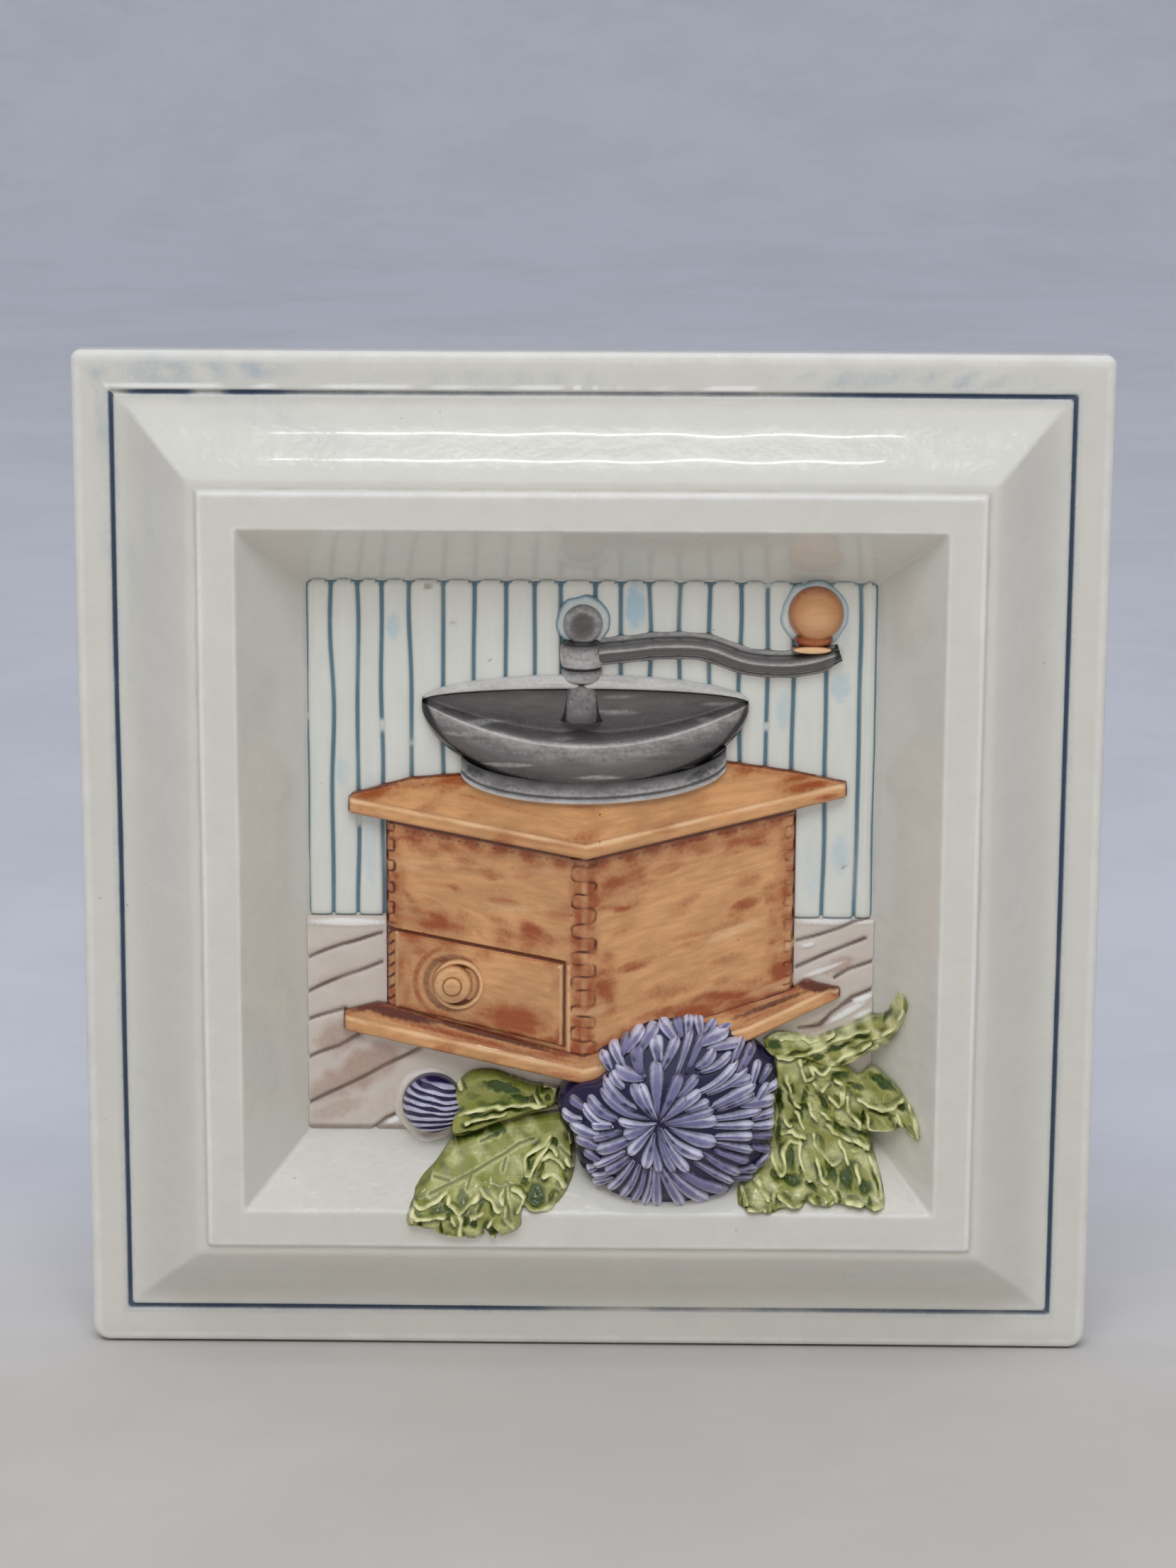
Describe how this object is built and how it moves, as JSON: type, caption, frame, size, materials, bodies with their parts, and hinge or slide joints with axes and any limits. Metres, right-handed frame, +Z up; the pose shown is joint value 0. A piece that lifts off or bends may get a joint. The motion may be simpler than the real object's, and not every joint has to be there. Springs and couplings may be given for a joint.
{
  "type": "decorative wall plaque",
  "caption": "Square glazed earthenware wall plaque: a moulded frame round a sunk picture panel with a coffee mill, chrysanthemum, bud and leaves in relief, hung by the foot of its hollow back",
  "frame": {"origin": "the middle of the flat back, which rests on the wall", "axes": "+X to the right as the plaque is seen on the wall, +Y into the wall, +Z up; the picture faces -Y"},
  "size_m": [0.2, 0.025, 0.2],
  "materials": {
    "cream_glaze": "glossy cream glaze, pooled in hollows",
    "brown_glaze": "glossy brown underglaze brushed like wood grain",
    "grey_glaze": "glossy iron-grey underglaze",
    "violet_glaze": "glossy violet underglaze, indigo in the hollows",
    "green_glaze": "glossy leaf-green underglaze, worn pale on the edges"
  },
  "bodies": {
    "root": {"plaque": "cream_glaze"}
  },
  "joints": []
}
